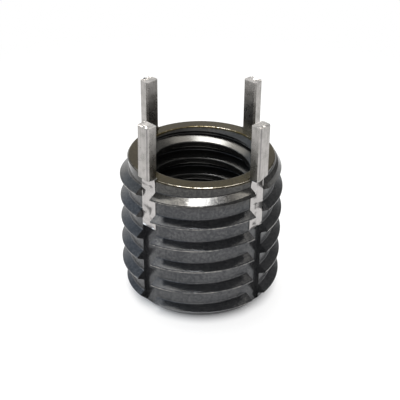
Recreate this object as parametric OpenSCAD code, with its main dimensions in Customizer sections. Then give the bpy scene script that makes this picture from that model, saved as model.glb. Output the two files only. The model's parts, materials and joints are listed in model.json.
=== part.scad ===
// Keyed insert: a threaded bush with four locking keys standing in slots through its outer thread.
// Millimetres. The origin is the middle of the bottom face, the axis is +Z and the keys are on X and Y.

/* [Body] */
// Length of the body along its axis
body_length = 14.22; // [12:0.02:20]
// Radius over the crests of the outer thread
crest_radius = 7.75; // [7.6:0.01:8.2]
// Wall between the bore and the root of the outer thread
body_wall = 2.28; // [2:0.01:2.9]
// Distance of the top face's outer rim inside the crests
top_rim_inset = 0.87; // [0.55:0.01:0.95]
// Rise of the top chamfer for each millimetre it runs outward
top_chamfer_rise = 1.65; // [0.8:0.05:2.2]
// Distance of the bottom face's outer rim inside the crests
bottom_rim_inset = 1.37; // [0.75:0.01:1.55]
// Rise of the bottom chamfer for each millimetre it runs outward
bottom_chamfer_rise = 1; // [0.5:0.05:1.6]

/* [Outer thread] */
// Advance of the outer thread in one turn
outer_pitch = 2.309; // [2:0.001:2.6]
// Depth of the outer thread
outer_depth = 0.82; // [0.6:0.01:0.85]
// Width of the flat along a crest
crest_flat = 0.12; // [0.1:0.01:0.4]
// Half of the angle between the two flanks, in degrees
flank_half_angle = 30; // [20:1:35]
// Distance of the first crest below the top face at the +X key
first_crest_drop = 1.16; // [0.6:0.01:2.2]
// Flat faces around one turn of each thread groove
groove_steps = 36; // [24:4:48]

/* [Inner thread] */
// Advance of the inner thread in one turn
inner_pitch = 1.814; // [1.5:0.001:2.1]
// Distance of the inner thread's first turn below the top face at the +X key
first_turn_drop = 0.4; // [0.2:0.01:1.6]

/* [Bore] */
// Width of the countersink around the top mouth of the bore
top_countersink = 1; // [0.55:0.01:1.35]
// Width of the countersink around the bottom mouth of the bore
bottom_countersink = 0.95; // [0.55:0.01:1.25]

/* [Key slots] */
// Width of a slot from wall to wall
slot_width = 1.8; // [1.6:0.01:2.1]
// Depth of a slot below the crests of the outer thread
slot_depth = 1.23; // [1.05:0.01:1.45]

/* [Keys] */
// Gap between a key's leaf and each slot wall, and between a key and the slot floor
key_gap = 0.04; // [0.02:0.01:0.08]
// Thickness of a key's head, above the step
head_thickness = 1.08; // [0.74:0.01:1.14]
// Thickness of a key's leaf, below the step
leaf_thickness = 0.42; // [0.29:0.01:0.54]
// Clearance of a key's head to each slot wall
head_clearance = 0.14; // [0.05:0.01:0.25]
// Narrowing of a key's head from its inner face to its outer face
head_taper = 0.1; // [0:0.01:0.3]
// Height a key stands above the top face
key_stand = 5.25; // [3:0.05:6]
// Depth a key reaches below the top face
key_reach = 5.2; // [4:0.05:7]
// Height of a key's step above the top face
key_step_height = 0.1; // [0.05:0.05:0.6]
// Bevel on a key's lower end
key_bevel = 0.2; // [0.1:0.05:0.3]

/* [Hidden] */
$fn = 120;
eps = 0.05;
root_radius = crest_radius - outer_depth;
bore_radius = root_radius - body_wall;
top_rim_radius = crest_radius - top_rim_inset;
bottom_rim_radius = crest_radius - bottom_rim_inset;
top_mouth_radius = bore_radius + top_countersink;
bottom_mouth_radius = bore_radius + bottom_countersink;
slot_floor = crest_radius - slot_depth;
flank_run = tan(flank_half_angle);
overcut = 0.08;
outer_root_flat = outer_pitch - crest_flat - 2 * outer_depth * flank_run;
outer_mouth_width = outer_root_flat + 2 * (outer_depth + overcut) * flank_run;
outer_groove_z = body_length - first_crest_drop + outer_pitch / 2;
inner_depth = 0.36 * inner_pitch;
inner_root_flat = inner_pitch / 30;
inner_mouth_width = inner_root_flat + 2 * (inner_depth + overcut) * flank_run;
inner_groove_z = body_length - first_turn_drop + inner_pitch / 2;
key_inner = slot_floor + key_gap;
key_outer = key_inner + head_thickness;
key_leaf_outer = key_inner + leaf_thickness;
leaf_width = slot_width - 2 * key_gap;
head_width = slot_width - 2 * head_clearance;
head_outer_width = head_width - head_taper;
key_top = body_length + key_stand;
key_bottom = body_length - key_reach;
key_step = body_length + key_step_height;
steel_black = [0.16, 0.15, 0.14];
steel_bright = [0.72, 0.70, 0.67];

// The two triangles between side j of one groove section and the same side of the next
function groove_side(i, j) =
    let (a = 4 * i + j, b = 4 * i + (j + 1) % 4)
    [[a, a + 4, b], [b, a + 4, b + 4]];

// A helical groove past both ends of the body, from its inner to its outer radius, with a width at each
module thread_groove(radii, widths, pitch, middle_z) {
    turns_below = ceil((middle_z + pitch) / pitch);
    sections = (turns_below + 1) * groove_steps;
    last = 4 * sections;
    polyhedron(
        points = [
            for (
                i = [0 : sections],
                corner = [[0, -1], [0, 1], [1, 1], [1, -1]]
            )
                let (
                    a = 360 * i / groove_steps,
                    r = radii[corner[0]],
                    z = middle_z + pitch * (i / groove_steps - turns_below)
                )
                [r * cos(a), r * sin(a), z + corner[1] * widths[corner[0]] / 2]
        ],
        faces = concat(
            [[0, 1, 2], [0, 2, 3]],
            [for (i = [0 : sections - 1], j = [0 : 3]) each groove_side(i, j)],
            [[last, last + 2, last + 1], [last, last + 3, last + 2]]
        )
    );
}

module outer_groove() {
    thread_groove(
        radii = [root_radius, crest_radius + overcut],
        widths = [outer_root_flat, outer_mouth_width],
        pitch = outer_pitch,
        middle_z = outer_groove_z
    );
}

// A V shallower than the real thread, because the mount test wants wall behind at least half of the bore
module inner_groove() {
    thread_groove(
        radii = [bore_radius - overcut, bore_radius + inner_depth],
        widths = [inner_mouth_width, inner_root_flat],
        pitch = inner_pitch,
        middle_z = inner_groove_z
    );
}

// The turned blank: outer radius with both end chamfers, and the bore with its two countersinks
module turned_blank() {
    rotate_extrude()
        polygon([
            [bottom_mouth_radius, 0],
            [bottom_rim_radius, 0],
            [crest_radius, bottom_rim_inset * bottom_chamfer_rise],
            [crest_radius, body_length - top_rim_inset * top_chamfer_rise],
            [top_rim_radius, body_length],
            [top_mouth_radius, body_length],
            [bore_radius, body_length - top_countersink],
            [bore_radius, bottom_countersink]
        ]);
}

module key_slots() {
    for (a = [0, 90, 180, 270])
        rotate([0, 0, a])
            translate([slot_floor, -slot_width / 2, -eps])
                cube([crest_radius - slot_floor + 1, slot_width, body_length + 2 * eps]);
}

module insert_body() {
    color(steel_black)
        difference() {
            turned_blank();
            outer_groove();
            inner_groove();
            key_slots();
        }
}

// Side view of a key's leaf on +X, with a bevel at its lower end
module leaf_side() {
    polygon([
        [key_inner, key_bottom],
        [key_leaf_outer - key_bevel, key_bottom],
        [key_leaf_outer, key_bottom + key_bevel],
        [key_leaf_outer, key_step],
        [key_inner, key_step]
    ]);
}

// Plan of a key's head on +X, a little narrower outside than inside
module head_plan() {
    polygon([
        [key_inner, -head_width / 2],
        [key_outer, -head_outer_width / 2],
        [key_outer, head_outer_width / 2],
        [key_inner, head_width / 2]
    ]);
}

// The stretch of bar that runs unbroken from the leaf into the head
module key_neck() {
    translate([key_inner, -head_outer_width / 2, key_step - leaf_thickness])
        cube([leaf_thickness, head_outer_width, 2 * leaf_thickness]);
}

module locking_key(angle) {
    color(steel_bright)
        rotate([0, 0, angle]) {
            rotate([90, 0, 0])
                translate([0, 0, -leaf_width / 2])
                    linear_extrude(height = leaf_width)
                        leaf_side();
            key_neck();
            translate([0, 0, key_step])
                linear_extrude(height = key_top - key_step)
                    head_plan();
        }
}

module key_front() {
    locking_key(270);
}

module key_right() {
    locking_key(0);
}

module key_back() {
    locking_key(90);
}

module key_left() {
    locking_key(180);
}

insert_body();
key_front();
key_right();
key_back();
key_left();
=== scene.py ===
# %% [markdown]
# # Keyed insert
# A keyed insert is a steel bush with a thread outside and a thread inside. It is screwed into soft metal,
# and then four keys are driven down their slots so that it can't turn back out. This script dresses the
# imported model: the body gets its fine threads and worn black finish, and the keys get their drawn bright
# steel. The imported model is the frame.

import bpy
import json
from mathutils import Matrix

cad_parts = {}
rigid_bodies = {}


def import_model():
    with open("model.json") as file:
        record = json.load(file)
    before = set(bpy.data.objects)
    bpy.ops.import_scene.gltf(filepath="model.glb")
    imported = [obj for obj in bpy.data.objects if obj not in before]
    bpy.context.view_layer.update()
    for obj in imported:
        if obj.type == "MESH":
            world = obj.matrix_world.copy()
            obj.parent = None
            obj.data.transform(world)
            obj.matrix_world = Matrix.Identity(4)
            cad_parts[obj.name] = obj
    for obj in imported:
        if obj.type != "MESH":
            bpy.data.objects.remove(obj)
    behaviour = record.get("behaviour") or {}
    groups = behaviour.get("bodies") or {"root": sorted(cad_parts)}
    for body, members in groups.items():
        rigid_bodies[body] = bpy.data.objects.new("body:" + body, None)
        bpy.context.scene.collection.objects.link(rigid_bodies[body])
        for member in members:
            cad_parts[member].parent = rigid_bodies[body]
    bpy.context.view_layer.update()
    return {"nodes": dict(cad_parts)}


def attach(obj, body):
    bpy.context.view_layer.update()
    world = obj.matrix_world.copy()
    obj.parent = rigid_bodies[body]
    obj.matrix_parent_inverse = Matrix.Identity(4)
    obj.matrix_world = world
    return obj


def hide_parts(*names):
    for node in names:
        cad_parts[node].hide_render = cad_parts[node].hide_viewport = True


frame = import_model()
print("nodes:", sorted(frame["nodes"]))

# %% [markdown]
# ## Sizes
# The body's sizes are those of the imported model, in millimetres, apart from the inner thread, which is cut
# here to its full depth. A rim is where an end face meets the outside, and a mouth is where it meets the
# bore. Each has a small rounding, given by how far it reaches along the axis.

# %% Libraries and sizes
import json
import math

import bmesh
import bpy
import numpy as np
from mathutils import Matrix, Vector

MM = 0.001
body_length = 14.22
root_radius, outer_depth, outer_pitch = 6.93, 0.82, 2.309
major_radius, inner_depth, inner_pitch = 5.557, 0.907, 1.814
first_crest, first_turn = body_length - 1.16, body_length - 0.4
top_rim, top_rim_rounding, top_chamfer_rise = 6.88, 0.06, 1.65
bottom_rim, bottom_bevel_height = 6.38, 0.25
top_mouth, top_mouth_rounding = 5.65, 0.05
bottom_mouth, bottom_mouth_rounding = 5.60, 0.03
slot_half, slot_floor = 0.9, 6.52
print("body length and crest radius in mm:", body_length, round(root_radius + outer_depth, 3))

# %% [markdown]
# ## Camera
# The picture looks down on the insert from between two keys. A camera can be aimed by hand, but here its
# place was worked out from the object's own edges, so it is written as an angle round the axis, a height
# and a distance.

# %% Camera
view_turn = math.radians(-46.63)
view_height = math.radians(30.10)
view_roll = math.radians(0.68)
view_distance, aim_below_top = 93.18, 5.191
picture_pixels, focal_pixels, shift_pixels = 400, 964, -1.208
toward_camera = Vector((math.cos(view_turn), math.sin(view_turn), 0))
picture_right = Vector((-toward_camera.y, toward_camera.x, 0))
back = toward_camera * math.cos(view_height) + Vector((0, 0, math.sin(view_height)))
level_up = Vector((0, 0, math.cos(view_height))) - toward_camera * math.sin(view_height)
right = picture_right * math.cos(view_roll) + level_up * math.sin(view_roll)
up = level_up * math.cos(view_roll) - picture_right * math.sin(view_roll)
lens = bpy.data.cameras.new("camera")
lens.sensor_width = 36
lens.lens = 36 * focal_pixels / picture_pixels
lens.shift_x = shift_pixels / picture_pixels
lens.clip_start, lens.clip_end = 0.005, 20
camera = bpy.data.objects.new("camera", lens)
eye = Vector((0, 0, body_length - aim_below_top)) * MM + back * view_distance * MM
camera.matrix_world = Matrix.Translation(eye) @ Matrix((right, up, back)).transposed().to_4x4()
bpy.context.scene.collection.objects.link(camera)
bpy.context.scene.camera = camera
print("camera at", [round(x / MM, 1) for x in eye], "mm")

# %% [markdown]
# ## One side of a thread ridge
# A thread is one ridge wound round a cylinder. On the real body a tool cut it, so its foot has a small
# fillet and its crest has slightly rounded edges that catch the light. The section is worked out once, as
# half a ridge.


# %% Half a ridge
def rounded(a, b, c):
    """Four points of a rounded corner: (1 - t)^2 a + 2 t (1 - t) b + t^2 c, where b is the sharp corner."""
    t = np.linspace(0, 1, 4)[:, None]
    return (1 - t) ** 2 * np.array(a) + 2 * t * (1 - t) * np.array(b) + t**2 * np.array(c)


def half_ridge(height, crest_flat, fillet, rounding):
    """Half a ridge from its foot to its middle: distance from the middle, and height above the root.

    The flank leans 30 degrees, so the foot is at crest_flat / 2 + height * tan 30. A point just outside
    each rounded corner keeps the flat beside it flat when it is shaded.
    """
    ease = 0.02
    lean = np.array([-0.5, math.sqrt(0.75)])
    edge = np.array([crest_flat / 2, height])
    foot = np.array([crest_flat / 2 + height * math.tan(math.pi / 6), 0])
    low = rounded(foot + [fillet, 0], foot, foot + fillet * lean)
    high = rounded(edge - rounding * lean, edge, edge - [rounding, 0])
    flank = [foot + (fillet + ease) * lean, edge - (rounding + ease) * lean]
    return np.vstack([foot + [fillet + ease, 0], low, flank, high, [[0, height]]])


outer_ridge = half_ridge(outer_depth, crest_flat=0.12, fillet=0.07, rounding=0.04)
inner_ridge = half_ridge(inner_depth, crest_flat=0.54, fillet=0.06, rounding=0.08)
print("points on half a ridge:", len(outer_ridge))

# %% [markdown]
# ## Winding the ridge
# A grid of level rings would cut across the thread and leave its crests ragged. So the rows of this grid
# climb with the thread, and every row is one line of the ridge, such as its foot or its crest edge. At the
# two ends a cone has turned the thread away. There a row slides along its flank to the place where the
# flank meets the cone.


# %% Rows that climb with the thread
def cut_by_cone(z, height, cone):
    """One side of a ridge, foot first: points above the cone go to where the side meets the cone.

    The place lies between the last point below and the first point above, shared by how far each is from
    it. A side that is above the cone all along goes to its foot. The second result tells which points
    were moved.
    """
    over = height - cone(z)
    above = over > 0
    crossing = above[:, 1:] & ~above[:, :-1]
    index = np.argmax(crossing, axis=1)[:, None] + 1
    z0, z1 = np.take_along_axis(z, index - 1, 1), np.take_along_axis(z, index, 1)
    o0, o1 = np.take_along_axis(over, index - 1, 1), np.take_along_axis(over, index, 1)
    share = np.clip(-o0 / np.where(o1 == o0, 1, o1 - o0), 0, 1)
    meet = np.where(crossing.any(axis=1)[:, None], z0 + share * (z1 - z0), z[:, :1])
    past_foot = np.logical_or.accumulate(~above, axis=1) | above.all(axis=1)[:, None]
    moved = above & past_foot
    return np.where(moved, meet, z), moved


def thread_rows(turn, pitch, middle, ridge, cone, edges, ends):
    """Height along the axis, height of the ridge, share rubbed bright, points on a cut, and rows in a turn.

    turn is each column's angle. The ridge's middle is at middle + pitch * (turn / 2 pi + k) for every
    whole k. cone gives the most that the ridge may stand at a height, edges are where the cones meet the
    root, and ends are the lowest and highest row. A crest is rubbed over its top 7 %, and its upper edge
    half as much as its lower one.
    """
    rub_from, rub_rise = 0.93, 0.06
    reach = ridge[:, 0][None, :, None]
    tall = ridge[:, 1][None, :, None]
    first = math.floor((ends[0] - middle) / pitch) - 3
    last = math.ceil((ends[1] - middle) / pitch) + 2
    whole_turns = np.arange(first, last)[:, None, None]
    centre = middle + pitch * (whole_turns + turn[None, None, :] / (2 * np.pi))
    side = reach[:, :-1]
    rise, rise_cut = cut_by_cone(centre - side, tall[:, :-1], cone)
    fall, fall_cut = cut_by_cone(centre + side, tall[:, :-1], cone)
    floor_low, floor_high = centre + reach[:, :1], centre + pitch - reach[:, :1]
    breaks = [np.clip(e, floor_low, floor_high) for e in edges]
    z = np.concatenate([rise, centre, fall[:, ::-1], *breaks], axis=1)
    no_cut = np.zeros_like(centre, bool)
    cut = np.concatenate([rise_cut, no_cut, fall_cut[:, ::-1], no_cut, no_cut], axis=1)
    stand = np.concatenate([tall[:, :-1], tall[:, -1:], tall[:, -2::-1], np.zeros((1, 2, 1))], axis=1)
    z = np.clip(z, *ends)
    stand = np.minimum(np.broadcast_to(stand, z.shape), cone(z))
    side_rows = len(ridge) - 1
    worn_side = np.repeat([1, 1, 0.5, 0], [side_rows, 1, side_rows, 2])[None, :, None]
    rubbed = worn_side * np.clip((stand / ridge[-1, 1] - rub_from) / rub_rise, 0, 1)
    return *(a.reshape(-1, len(turn)) for a in (z, stand, rubbed, cut)), z.shape[1]


print("rows in one turn of a thread:", 2 * len(outer_ridge) + 1)

# %% [markdown]
# ## The slots in plan
# Four slots run the whole length of the body, with parallel walls and a flat floor. The grid's columns
# therefore don't go round a plain circle: they cross a slot's floor, climb one wall, follow the thread to
# the next slot, and go down its wall. The radius of each point decides how tall the wall is there, so the
# walls show the thread's teeth.

# %% Columns round the body
FLOOR, WALL_UP, ARC, WALL_DOWN = range(4)
floor_share = np.linspace(-1, 1, 5)
wall_share = np.array([1, 2]) / 3
arc_share = np.concatenate([[0, 0.006, 0.02], np.linspace(0.04, 0.96, 32), [0.98, 0.994, 1]])
stretches = [floor_share, wall_share, arc_share, wall_share[::-1]]
quarter_kind = np.repeat([FLOOR, WALL_UP, ARC, WALL_DOWN], [len(s) for s in stretches])
column_kind = np.tile(quarter_kind, 4)
column_share = np.tile(np.concatenate(stretches), 4)
column_quarter = np.repeat(np.arange(4), len(quarter_kind)) * np.pi / 2
slot_edge = (column_kind == ARC) & ((column_share == 0) | (column_share == 1))


def column_angles(edge, wall_turn):
    """Angle of every column: across the floor, through each wall by wall_turn, and round the arc between.

    edge is the angle from the middle of a slot to its wall.
    """
    start = edge + wall_turn
    floor_turn = column_share * edge
    up_turn = edge + column_share * wall_turn
    arc_turn = start + column_share * (np.pi / 2 - 2 * start)
    down_turn = np.pi / 2 - edge - column_share * wall_turn
    return column_quarter + np.choose(column_kind, [floor_turn, up_turn, arc_turn, down_turn])


def slotted_outline(radius):
    """x and y round the body at a radius, with the slots cut in.

    Floor: x is the slot floor, and y runs across. Wall: y is half the slot, and x runs from the floor to
    the radius. Arc: an even turn from one slot's edge to the next.
    """
    radius = np.broadcast_to(radius, (*np.shape(radius)[:-1], len(column_kind)))
    rim = np.sqrt(radius**2 - slot_half**2)
    low = np.minimum(rim, slot_floor)
    edge = np.arcsin(slot_half / radius)
    turn = edge + column_share * (np.pi / 2 - 2 * edge)
    across = np.broadcast_to(column_share * slot_half, radius.shape)
    beside = np.full(radius.shape, slot_half)
    wall = low + column_share * (rim - low)
    floor_x = np.minimum(slot_floor, np.sqrt(radius**2 - across**2))
    x = np.choose(column_kind, [floor_x, wall, radius * np.cos(turn), beside])
    y = np.choose(column_kind, [across, beside, radius * np.sin(turn), wall])
    c, s = np.cos(column_quarter), np.sin(column_quarter)
    return x * c - y * s, x * s + y * c


ridge_middle = 7.35
outer_turn = column_angles(edge=math.asin(slot_half / ridge_middle), wall_turn=0)
bore_turn = column_angles(edge=0.115, wall_turn=0.015)
print("columns round the body:", len(column_kind))

# %% [markdown]
# ## The body's surface
# The surface is one closed sweep: up the outer thread, over the rim and across the top face, down the
# bore's thread, and back across the bottom face. Each stretch is a grid of its own, and the grids are
# welded where they meet.


# %% Outer thread
def outer_cone(z):
    """Most that the outer ridge may stand: the steep top chamfer and the 45 degree bottom chamfer."""
    top_cone = top_rim - root_radius + (body_length - z) / top_chamfer_rise
    return np.minimum(top_cone, bottom_rim - root_radius + z)


def scrape(turn, z, patch_turn, patch_z):
    """Share rubbed bright where a key's leaf has scraped the thread.

    exp(-(turn off / 0.06)^2 - (z off / 0.5)^2), where off is the way from the middle of the patch.
    """
    off = (turn - patch_turn + np.pi) % (2 * np.pi) - np.pi
    return np.exp(-((off / 0.06) ** 2) - ((z - patch_z) / 0.5) ** 2)


outer_z, outer_stand, outer_rub, outer_cut, outer_shift = thread_rows(
    outer_turn, outer_pitch, first_crest, outer_ridge, outer_cone,
    edges=(root_radius - bottom_rim, body_length - (root_radius - top_rim) * top_chamfer_rise),
    ends=(bottom_bevel_height, body_length - top_rim_rounding))
outer_x, outer_y = slotted_outline(root_radius + outer_stand)
outer_grid = np.stack([outer_x, outer_y, outer_z], -1)
outer_rub = np.where(column_kind == ARC, np.maximum(outer_rub, 0.5 * slot_edge), 0)
for patch_turn, patch_z, strength in ((-1.42, 9.1, 1.1), (-0.17, 9.3, 0.95)):
    outer_rub = np.maximum(outer_rub, strength * scrape(outer_turn, outer_z, patch_turn, patch_z))
print("outer thread rows and columns:", outer_grid.shape[:2])


# %% Inner thread
def inner_cone(z):
    """Most that the inner ridge may stand: the 45 degree countersinks at both mouths of the bore."""
    return np.minimum(major_radius - top_mouth + body_length - z, major_radius - bottom_mouth + z)


def bore_circle(radius):
    """x and y round the bore: a plain circle on the bore's own columns."""
    return radius * np.cos(bore_turn), radius * np.sin(bore_turn)


inner_z, inner_stand, inner_rub, inner_cut, inner_shift = thread_rows(
    bore_turn, inner_pitch, first_turn, inner_ridge, inner_cone,
    edges=(bottom_mouth - major_radius, body_length - (top_mouth - major_radius)),
    ends=(bottom_mouth_rounding, body_length - top_mouth_rounding))
inner_x, inner_y = bore_circle(major_radius - inner_stand)
inner_grid = np.stack([inner_x, inner_y, inner_z], -1)[::-1]
inner_rub, inner_cut = 0.75 * inner_rub[::-1], inner_cut[::-1]
print("inner thread rows and columns:", inner_grid.shape[:2])


# %% End faces
def rings(corner_points, outline):
    """Level rows at the radii and heights of some points, each with the outline of its radius."""
    radii, heights = corner_points.T[:, :, None]
    x, y = outline(radii)
    return np.stack([x, y, np.broadcast_to(heights, x.shape)], -1)


def face_rows(first, last):
    """Three rows across a flat face: one beside the first row, one midway and one beside the last."""
    s = np.array([0.03, 0.5, 0.97])[:, None, None]
    return (1 - s) * first + s * last


rim_start = (top_rim + top_rim_rounding / top_chamfer_rise, body_length - top_rim_rounding)
top_rim_corner = rounded(rim_start, (top_rim, body_length), (top_rim - 0.08, body_length))
mouth_end = (top_mouth - top_mouth_rounding, body_length - top_mouth_rounding)
top_mouth_corner = rounded((top_mouth + 0.05, body_length), (top_mouth, body_length), mouth_end)
mouth_start = (bottom_mouth - bottom_mouth_rounding, bottom_mouth_rounding)
bottom_mouth_corner = rounded(mouth_start, (bottom_mouth, 0), (bottom_mouth + 0.04, 0))
bottom_rim_corner = rounded((bottom_rim - 0.06, 0), (bottom_rim, 0), (bottom_rim + 0.05, 0.05))
bevel = np.array([0.14, 0.165, 0.19, bottom_bevel_height])
bottom_bevel = np.stack([bottom_rim + bevel, bevel], -1)

rim_rows = rings(top_rim_corner, slotted_outline)
mouth_rows = rings(top_mouth_corner, bore_circle)
top_grid = np.concatenate([rim_rows, face_rows(rim_rows[-1], mouth_rows[0]), mouth_rows])
top_row_rub = np.array([0, 1, 1, 0] + [0, 0, 0] + [0, 0.85, 0.85, 0])
top_rub = top_row_rub[:, None] * (column_kind != FLOOR)
low_mouth = rings(bottom_mouth_corner, bore_circle)
low_rim = rings(np.vstack([bottom_rim_corner, bottom_bevel]), slotted_outline)
bottom_grid = np.concatenate([low_mouth, face_rows(low_mouth[-1], low_rim[0]), low_rim])
bottom_row_rub = np.array([0, 0.7, 0.7, 0] + [0, 0, 0] + [0, 1, 1, 0] + [0, 0, 0, 0])
bottom_rub = bottom_row_rub[:, None] * np.ones(len(column_kind))
print("top and bottom rows:", len(top_grid), len(bottom_grid))

# %% [markdown]
# ## Welding grids into a mesh
# A grid becomes quads between neighbouring rows and columns. After a full turn the climbing rows are one
# pitch higher, so the last column joins the first with its rows moved on by one ridge. Rows that slid
# together at a cone share a point, and quads that shrank to a line are left out.


# %% Grid to mesh
def grid_quads(shape, shift, start):
    """Corner numbers of a grid's quads, closed round its columns with the rows moved by shift at the seam."""
    rows, columns = shape
    r, c = np.meshgrid(np.arange(rows), np.arange(columns), indexing="ij")
    here = start + r * columns + c
    moved = np.clip(r + shift * (c == columns - 1), 0, rows - 1)
    there = start + moved * columns + (c + 1) % columns
    return np.stack([here[:-1], there[:-1], there[1:], here[1:]], -1).reshape(-1, 4)


def weld(grids):
    """Points, their rub and painted edge shade marks and cut marks, quads and triangles of several grids,
    with like points made one.
    """
    steps_per_mm = 2e5
    starts = np.cumsum([0] + [g.shape[0] * g.shape[1] for g, *_ in grids])
    points = np.concatenate([g.reshape(-1, 3) for g, *_ in grids])
    marks = np.concatenate([np.stack([rub_and_edge_shade, cut], -1).reshape(-1, 2) for _, _, rub_and_edge_shade, cut in grids])
    quads = np.concatenate([grid_quads(g.shape[:2], shift, s) for (g, shift, *_), s in zip(grids, starts)])
    places = np.round(points * steps_per_mm).astype(np.int64)
    _, keep, same = np.unique(places, axis=0, return_index=True, return_inverse=True)
    quads = same.reshape(-1)[quads]
    twin = quads == np.roll(quads, -1, axis=1)
    crossed = (quads[:, 0] == quads[:, 2]) | (quads[:, 1] == quads[:, 3])
    whole = quads[(twin.sum(1) == 0) & ~crossed]
    part = (twin.sum(1) == 1) & ~crossed
    order = np.argsort(twin[part], axis=1, kind="stable")[:, :3]
    threes = np.take_along_axis(quads[part], np.sort(order, axis=1), 1)
    return points[keep], marks[keep], whole, threes


def make_piece(name, grids):
    """An object from welded grids, in metres, smooth except across sharp edges.

    An edge is sharp where its faces turn by more than 24 degrees, or by 8 along a line that a cone has cut.
    """
    points, marks, quads, threes = weld(grids)
    mesh = bpy.data.meshes.new(name)
    mesh.from_pydata((points * MM).tolist(), [], quads.tolist() + threes.tolist())
    # The mark is rubbing on the body and a painted edge shade on a key
    rub_and_edge_shade = mesh.attributes.new("rub_and_edge_shade", "FLOAT", "POINT")
    rub_and_edge_shade.data.foreach_set("value", marks[:, 0].astype(np.float32))
    shape = bmesh.new()
    shape.from_mesh(mesh)
    for edge in shape.edges:
        on_cut = all(marks[v.index, 1] for v in edge.verts)
        edge.smooth = edge.calc_face_angle(0) < math.radians(8 if on_cut else 24)
    for face in shape.faces:
        face.smooth = True
    shape.to_mesh(mesh)
    shape.free()
    piece = bpy.data.objects.new(name, mesh)
    bpy.context.scene.collection.objects.link(piece)
    print(name, "points:", len(points), "faces:", len(mesh.polygons))
    return piece


print("quads in a grid of 3 rows and 4 columns:", len(grid_quads((3, 4), 0, 0)))

# %% Body piece
body_grids = [(outer_grid, outer_shift, outer_rub, outer_cut), (top_grid, 0, top_rub, 0 * top_rub)]
body_grids += [(inner_grid, -inner_shift, inner_rub, inner_cut), (bottom_grid, 0, bottom_rub, 0 * bottom_rub)]
body = make_piece("threaded_body", body_grids)
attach(body, "body")
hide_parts("insert_body")

# %% [markdown]
# ## The keys
# Each key is a short length of bright drawn bar. Its head is thick and stands above the top face, and below
# a step its leaf is thin enough to lie under the thread in the slot. The ends were sheared off, and the
# long edges are bevelled. A bar is a plan outline carried up the key, so it is a grid too: columns round
# the plan, rows up the key. The columns go round the four corners, and then across the outer face, which
# needs more of them because the leaf is dented there.

# %% Key plan
key_inner, head_outer, leaf_outer = 6.53, 7.64, 6.98
key_top, key_step, key_low = body_length + 5.25, body_length + 0.10, body_length - 5.20
face_columns = 11
# Five columns to a corner: one beside it on either flat, and three over its bevel
corner_share = np.array([0, 0, 0.5, 1, 1])
corners = np.concatenate([corner_share, corner_share[::-1], corner_share, corner_share[::-1]])
corner_ease = 0.03 * np.array([[0, 0, 0, 0, 1], [1, 0, 0, 0, 0]])
eases = np.concatenate([corner_ease, corner_ease[:, ::-1], corner_ease, corner_ease[:, ::-1]], axis=1)
flat_x = np.concatenate([np.repeat([1, -1, -1, 1], 5), np.ones(face_columns)])
flat_y = np.concatenate([np.repeat([1, 1, -1, -1], 5), np.linspace(-0.9, 0.9, face_columns)])
slope_x = flat_x * np.concatenate([1 - corners, np.ones(face_columns)])
slope_y = flat_y * np.concatenate([corners, np.zeros(face_columns)])
ease_x, ease_y = np.concatenate([eases, np.zeros((2, face_columns))], axis=1) * [flat_x, flat_y]
front_edge = (slope_x == 1) & (ease_y == 0) & (np.abs(flat_y) == 1)


def bar_plan(outer, inner_half, outer_half, corner, size):
    """The plan of a bar on +X: a rectangle with bevelled corners, shrunk to its middle by size.

    x = middle +- (half depth - corner s) and y = +- (half width - corner (1 - s)), where s goes from 0 to 1
    over a corner. A column just outside each corner keeps the flat beside it flat when it is shaded.
    """
    x = flat_x * ((outer - key_inner) / 2 - corner) + slope_x * corner - ease_x
    half = np.where(flat_x > 0, outer_half, inner_half)
    y = flat_y * (half - corner) + slope_y * corner - ease_y
    return (outer + key_inner) / 2 + size * x, size * y


print("columns round a key:", len(flat_x))

# %% [markdown]
# Each row of a key holds its height, the plan's outer face, inner half width, outer half width and corner,
# the size the plan is shrunk to, and how much the row follows the slant of the step. The rows start at the
# middle of the lower end and finish at the middle of the top.

# %% Key rows
leaf_plan, head_plan = (leaf_outer, 0.86, 0.86, 0.05), (head_outer, 0.77, 0.72, 0.17)
key_rows = [(key_low, *leaf_plan, size, 0) for size in (0, 0.5, 0.9)]
key_rows.append((key_low + 0.03, *leaf_plan, 0.97, 0))
key_rows += [(z, *leaf_plan, 1, 0) for z in np.linspace(key_low + 0.09, key_step - 0.7, 45)]
for drop, half in ((0.5, 0.85), (0.3, 0.82), (0.12, 0.78), (0.03, 0.76)):
    key_rows.append((key_step - drop, leaf_outer, half, half, 0.06, 1, 1 - drop))
key_rows.append((key_step, head_outer - 0.05, 0.75, 0.70, 0.17, 1, 1))
for rise, slanted in ((0.06, 1), (0.1, 1), (0.9, 0.2), (1.6, 0)):
    key_rows.append((key_step + rise, *head_plan, 1, slanted))
for drop, size in ((0.1, 1), (0.07, 1), (0.02, 0.98), (0, 0.93)):
    key_rows.append((key_top - drop, *head_plan, size, 0))
key_rows += [(key_top, *head_plan, size, 0) for size in (0.9, 0.7, 0.5, 0.3, 0)]
print("rows up a key:", len(key_rows))


# %% Key surface
def dent(y, z):
    """How far the leaf's face is pressed in: two broad waves that cross, and a crease that wanders."""
    waves = np.sin(2.6 * y + 2.72 * z + np.sin(1.9 * z)) * np.sin(1.7 * y - 3.1 * z + 1.0)
    crease = np.exp(-(((y - 0.1 - 0.1 * np.sin(2.3 * z)) / 0.13) ** 2)) * (0.6 + 0.4 * np.sin(2.72 * z))
    return 0.06 + 0.06 * waves + 0.07 * crease


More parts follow.
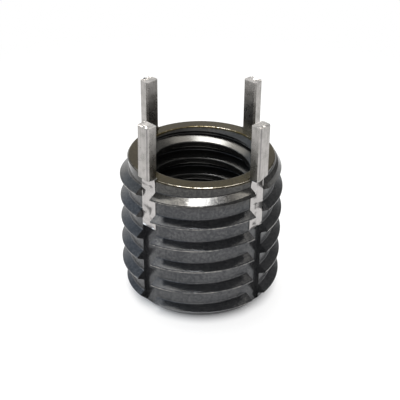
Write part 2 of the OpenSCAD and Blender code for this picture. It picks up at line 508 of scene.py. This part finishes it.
def key_grid(slant, lean, seed, burr):
    """One key on +X: the bar's plan at each row, carried from the leaf's end up to the top of the head.

    Near the step z = height + slant * y / half width. The leaf's face is dented, and the sheared top is
    uneven, with a burr exp(-(x off / 0.14)^2 - (y off / 0.14)^2) at its outer edge. Above the step the bar
    leans aside by a share of its height.
    """
    step_half = 0.76
    height, outer, inner_half, outer_half, corner, size, slanted = np.array(key_rows).T[:, :, None]
    x, y = bar_plan(outer, inner_half, outer_half, corner, size)
    z = height + slanted * slant * y / step_half
    on_leaf = (size == 1) * np.clip((key_step - 0.02 - height) / 0.3, 0, 1)
    x = x - dent(y, z + seed) * on_leaf * np.clip(slope_x, 0, 1)
    torn = np.sin(6 * x + 9 * y + seed) * np.sin(11 * x - 5 * y) + 0.6 * np.sin(21 * x + 4 * y + seed)
    z = z - 0.03 * (1 + torn) * (size < 0.95) * (height > key_step)
    point = np.exp(-(((x - head_outer + 0.15) / 0.14) ** 2) - ((y - 0.15) / 0.14) ** 2)
    z = z + burr * point * (height > key_top - 0.05)
    rise = np.clip(z - key_step - 0.3, 0, None) / (key_top - key_step)
    return np.stack([x, y + lean * rise, z], -1)


def turned(grid, angle):
    """A grid turned round the axis: x cos - y sin, x sin + y cos."""
    c, s = math.cos(angle), math.sin(angle)
    x, y, z = np.moveaxis(grid, -1, 0)
    return np.stack([x * c - y * s, x * s + y * c, z], -1)


key_shapes = {
    "key_front": (270, dict(slant=-0.07, lean=0.10, seed=0, burr=0.04)),
    "key_right": (0, dict(slant=0.22, lean=0, seed=2, burr=0.04)),
    "key_back": (90, dict(slant=0.1, lean=0, seed=5, burr=0.16)),
    "key_left": (180, dict(slant=-0.1, lean=0, seed=9, burr=0.16)),
}
keys = []
for node, (angle, shape) in key_shapes.items():
    grid = turned(key_grid(**shape), math.radians(angle))
    # Painted shade: a dark line along each front edge of a head, above the step
    painted_edge_shade = front_edge * (grid[..., 2] > key_step)
    key = make_piece(node + "_bar", [(grid, 0, painted_edge_shade, 0 * painted_edge_shade)])
    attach(key, node)
    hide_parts(node)
    keys.append(key)

# %% [markdown]
# ## Shader maths as expressions
# A finish is easier to read as a sum than as a wire diagram. This small class wraps a socket, so that + and
# * add Math nodes, and its node method adds any other node.


# %% Socket wrapper
class Value:
    """A socket of a node tree that takes part in expressions."""

    def __init__(self, tree, socket):
        self.tree, self.socket = tree, socket

    def node(self, kind, settings=None, inputs=None, out=0):
        """One output of a new node, whose inputs are joined to Values or set to numbers."""
        made = self.tree.nodes.new(kind)
        for key, setting in (settings or {}).items():
            setattr(made, key, setting)
        for key, value in (inputs or {}).items():
            if isinstance(value, Value):
                self.tree.links.new(value.socket, made.inputs[key])
            else:
                made.inputs[key].default_value = value
        return Value(self.tree, made.outputs[out])

    def maths(self, operation, *values):
        return self.node("ShaderNodeMath", {"operation": operation}, dict(enumerate(values)))

    def __add__(self, other):
        return self.maths("ADD", self, other)

    def __rsub__(self, other):
        return self.maths("SUBTRACT", other, self)

    def __mul__(self, other):
        return self.maths("MULTIPLY", self, other)

    __radd__ = __add__
    __rmul__ = __mul__

    def step(self, low, high):
        """0 below low, 1 above high, and a smooth S between."""
        settings = {"interpolation_type": "SMOOTHSTEP"}
        return self.node("ShaderNodeMapRange", settings, {"Value": self, "From Min": low, "From Max": high})


print("a Value can be added, multiplied, and taken from a number")


# %% Shader helpers
def new_finish(name):
    """A material, its shader node, and its Object coordinates as a Value."""
    material = bpy.data.materials.new(name)
    material.use_nodes = True
    tree = material.node_tree
    coordinates = tree.nodes.new("ShaderNodeTexCoord")
    return material, tree.nodes["Principled BSDF"], Value(tree, coordinates.outputs["Object"])


def feed(shader, socket, value):
    """Joins a Value to an input of a shader node."""
    value.tree.links.new(value.socket, shader.inputs[socket])


def blend(low, high, share):
    """A colour between two colours by a share."""
    return share.node("ShaderNodeMix", {"data_type": "RGBA"}, {0: share, 6: low, 7: high}, out=2)


def noise(spot, scale, detail, roughness=0.5):
    """A noise texture over a place, with scale in waves to the metre."""
    inputs = {"Vector": spot, "Scale": scale, "Detail": detail, "Roughness": roughness}
    return spot.node("ShaderNodeTexNoise", inputs=inputs)


def stretched(spot, scale):
    """A place with each of its axes scaled."""
    return spot.node("ShaderNodeMapping", inputs={"Vector": spot, "Scale": scale})


def upward(spot):
    """The z part of a place or a direction."""
    return spot.node("ShaderNodeSeparateXYZ", inputs={0: spot}, out=2)


def length(spot):
    """How far a place is from the origin."""
    return spot.node("ShaderNodeVectorMath", {"operation": "LENGTH"}, {0: spot}, out="Value")


def rub_and_edge_shade_mark(spot):
    """The mark that the grids gave each point: rubbed on the body, a painted edge shade on a key."""
    return spot.node("ShaderNodeAttribute", {"attribute_name": "rub_and_edge_shade"}, out="Fac")


print("shader helpers ready")

# %% [markdown]
# ## Black steel
# The body was turned from steel and blackened. The finish is mottled, brown with oil on the top face and a
# little on the first turn, and a bit duller below the first turn and in the bore. The bore is also painted
# darker, as painted shade. The thin crests and the rims have rubbed bright in broken patches.

# %% Black steel finish
black_steel, black_shader, black_spot = new_finish("black_steel")
height = upward(black_spot)
radius = length(stretched(black_spot, (1.0, 1.0, 0.0)))
mottle = noise(black_spot, 4500.0, 3.0, 0.6)
cloud = noise(black_spot, 300.0, 3.0)
inside = 1.0 - radius.step(0.0053, 0.0056)
below_rim = 1.0 - height.step(0.0118, 0.0128)
first_turn_brown = (height + 0.0006 * cloud).step(0.0118, 0.0130)
top_face_brown = (height + 0.0002 * cloud).step(0.0141, 0.0143)
brown = 0.25 * first_turn_brown + 0.75 * top_face_brown
worn = (0.3 * cloud + 0.7 * mottle).step(0.40, 0.62)
plain = blend((0.056, 0.058, 0.062, 1), (0.104, 0.105, 0.107, 1), worn)
oiled = blend((0.022, 0.015, 0.002, 1), (0.044, 0.034, 0.010, 1), worn)
# Painted shade: in the bore the colour is taken 0.8 of the way to a dark grey
finish_with_bore_shade = blend(blend(plain, oiled, brown), (0.050, 0.049, 0.046, 1), 0.8 * inside)
bare = (rub_and_edge_shade_mark(black_spot) * (0.5 * mottle + 0.5 * cloud)).step(0.40, 0.62)
dull = below_rim.maths("MAXIMUM", below_rim, inside)
feed(black_shader, "Base Color", blend(finish_with_bore_shade, (0.42, 0.40, 0.37, 1), bare))
feed(black_shader, "Roughness", 0.08 + 0.10 * mottle + 0.11 * dull)
black_shader.inputs["Metallic"].default_value = 0.85
body.data.materials.append(black_steel)
print("black steel nodes:", len(black_steel.node_tree.nodes))

# %% [markdown]
# ## Bright steel
# The keys are bright bar, drawn through a die, so fine streaks run along them. The streaks are a noise
# squeezed along the axis. The leaves were scraped lighter, and a dark line of painted shade runs along
# each front edge of a head.

# %% Bright steel finish
bright_steel, bright_shader, bright_spot = new_finish("bright_steel")
streak = noise(stretched(bright_spot, (1.0, 1.0, 0.12)), 6000.0, 4.0)
patch = noise(bright_spot, 1500.0, 4.0)
streaked = (0.4 * streak + 0.6 * patch).step(0.35, 0.65)
drawn = blend((0.32, 0.31, 0.295, 1), (0.47, 0.45, 0.435, 1), streaked)
on_leaf = 1.0 - (upward(bright_spot) + 0.0002 * patch).step(0.0141, 0.0145)
scraped = blend(drawn, (0.54, 0.52, 0.515, 1), 0.6 * on_leaf)
# Painted shade: the key's mark darkens a line along each head's front edge
feed(bright_shader, "Base Color", blend(scraped, (0.12, 0.11, 0.12, 1), 0.8 * rub_and_edge_shade_mark(bright_spot)))
feed(bright_shader, "Roughness", 0.22 + 0.12 * patch)
bright_shader.inputs["Metallic"].default_value = 1.0
for key in keys:
    key.data.materials.append(bright_steel)
print("bright steel nodes:", len(bright_steel.node_tree.nodes))

# %% [markdown]
# ## Floor
# The picture has a plain white ground. A floor that is only lit never looks quite white, so most of it is
# given to rays from the camera and from reflections as plain white, and far from the part all of it. Near
# the part the rest keeps the soft shadow, and under the part the floor keeps its own shade.

# %% Floor
floor_mesh = bpy.data.meshes.new("floor")
floor_mesh.from_pydata([(-2, -2, 0), (2, -2, 0), (2, 2, 0), (-2, 2, 0)], [], [(0, 1, 2, 3)])
floor = bpy.data.objects.new("floor", floor_mesh)
bpy.context.scene.collection.objects.link(floor)
white_floor, floor_shader, floor_spot = new_finish("white_floor")
floor_shader.inputs["Base Color"].default_value = (0.9, 0.9, 0.9, 1)
floor_shader.inputs["Roughness"].default_value = 0.9


def seen_share(tree):
    """1 for rays from the camera, from a reflection or through glass, and 0 for other rays."""
    path = tree.nodes.new("ShaderNodeLightPath")
    rays = [Value(tree, path.outputs[n]) for n in ("Is Camera Ray", "Is Glossy Ray", "Is Transmission Ray")]
    return rays[0].maths("MINIMUM", rays[0] + rays[1] + rays[2], 1.0)


floor_tree = white_floor.node_tree
glow = floor_tree.nodes.new("ShaderNodeEmission")
away = length(floor_spot)
whiteness = 0.85 * away.step(0.0060, 0.0080) + 0.15 * away.step(0.025, 0.070)
shades = {1: Value(floor_tree, floor_shader.outputs[0]), 2: Value(floor_tree, glow.outputs[0])}
mixed = away.node("ShaderNodeMixShader", inputs={0: seen_share(floor_tree) * whiteness, **shades})
feed(floor_tree.nodes["Material Output"], "Surface", mixed)
floor_mesh.materials.append(white_floor)
print("floor nodes:", len(floor_tree.nodes))

# %% [markdown]
# ## Sky and lamps
# Dark shiny steel shows little but what it mirrors, so the sky has tones of its own: white round the
# horizon, dark overhead, darker high on the right, and bluish high on the left. One soft lamp hangs
# overhead, where the first flank of each thread mirrors it. A wide warm one hangs behind it, and a weak
# bluish one stands to the left.

# %% Sky
world = bpy.data.worlds.new("white_room")
bpy.context.scene.world = world
world.use_nodes = True
sky = world.node_tree.nodes["Background"]
direction = world.node_tree.nodes.new("ShaderNodeTexCoord")
facing = Value(world.node_tree, direction.outputs["Generated"])
two_directions = {0: facing, 1: picture_right}
aside = facing.node("ShaderNodeVectorMath", {"operation": "DOT_PRODUCT"}, two_directions, out="Value")
climb = upward(facing)
raised = climb.step(0.12, 0.40)
dark_right = 0.75 * raised * aside.step(0.15, 0.50)
blue_left = raised * (1.0 - aside.step(-0.50, -0.15))
ceiling = 0.9 * climb.step(0.88, 0.98)
feed(sky, "Color", blend((1, 1, 1, 1), (0.55, 0.63, 0.74, 1), blue_left))
feed(sky, "Strength", (1.0 - ceiling) * (1.0 - dark_right))
print("sky nodes:", len(world.node_tree.nodes))


# %% Lamps
def soft_lamp(name, ahead, rightward, above, size, power, colour=(1, 1, 1)):
    """A lamp placed by the picture: ahead toward the camera, to the right and above, aimed at the body.

    size is its width, level and square to its beam, and its other side.
    """
    light = bpy.data.lights.new(name, "AREA")
    light.shape, light.energy, light.color = "RECTANGLE", power, colour
    light.size, light.size_y = size[0] * MM, size[1] * MM
    lamp = bpy.data.objects.new(name, light)
    place = toward_camera * ahead + picture_right * rightward + Vector((0, 0, above))
    beam = (place - Vector((0, 0, 8))).normalized()
    level = Vector((0, 0, 1)).cross(beam).normalized()
    facing_body = Matrix((level, beam.cross(level), beam)).transposed().to_4x4()
    lamp.matrix_world = Matrix.Translation(place * MM) @ facing_body
    bpy.context.scene.collection.objects.link(lamp)


soft_lamp("lamp_over", -18, -7, 160, (64, 57), 0.30)
soft_lamp("lamp_wide", -57, -10, 190, (210, 130), 0.34, (1, 0.95, 0.87))
soft_lamp("lamp_left", -20, -150, 90, (60, 60), 0.05, (0.88, 0.95, 1))
bpy.context.scene.view_settings.view_transform = "Standard"
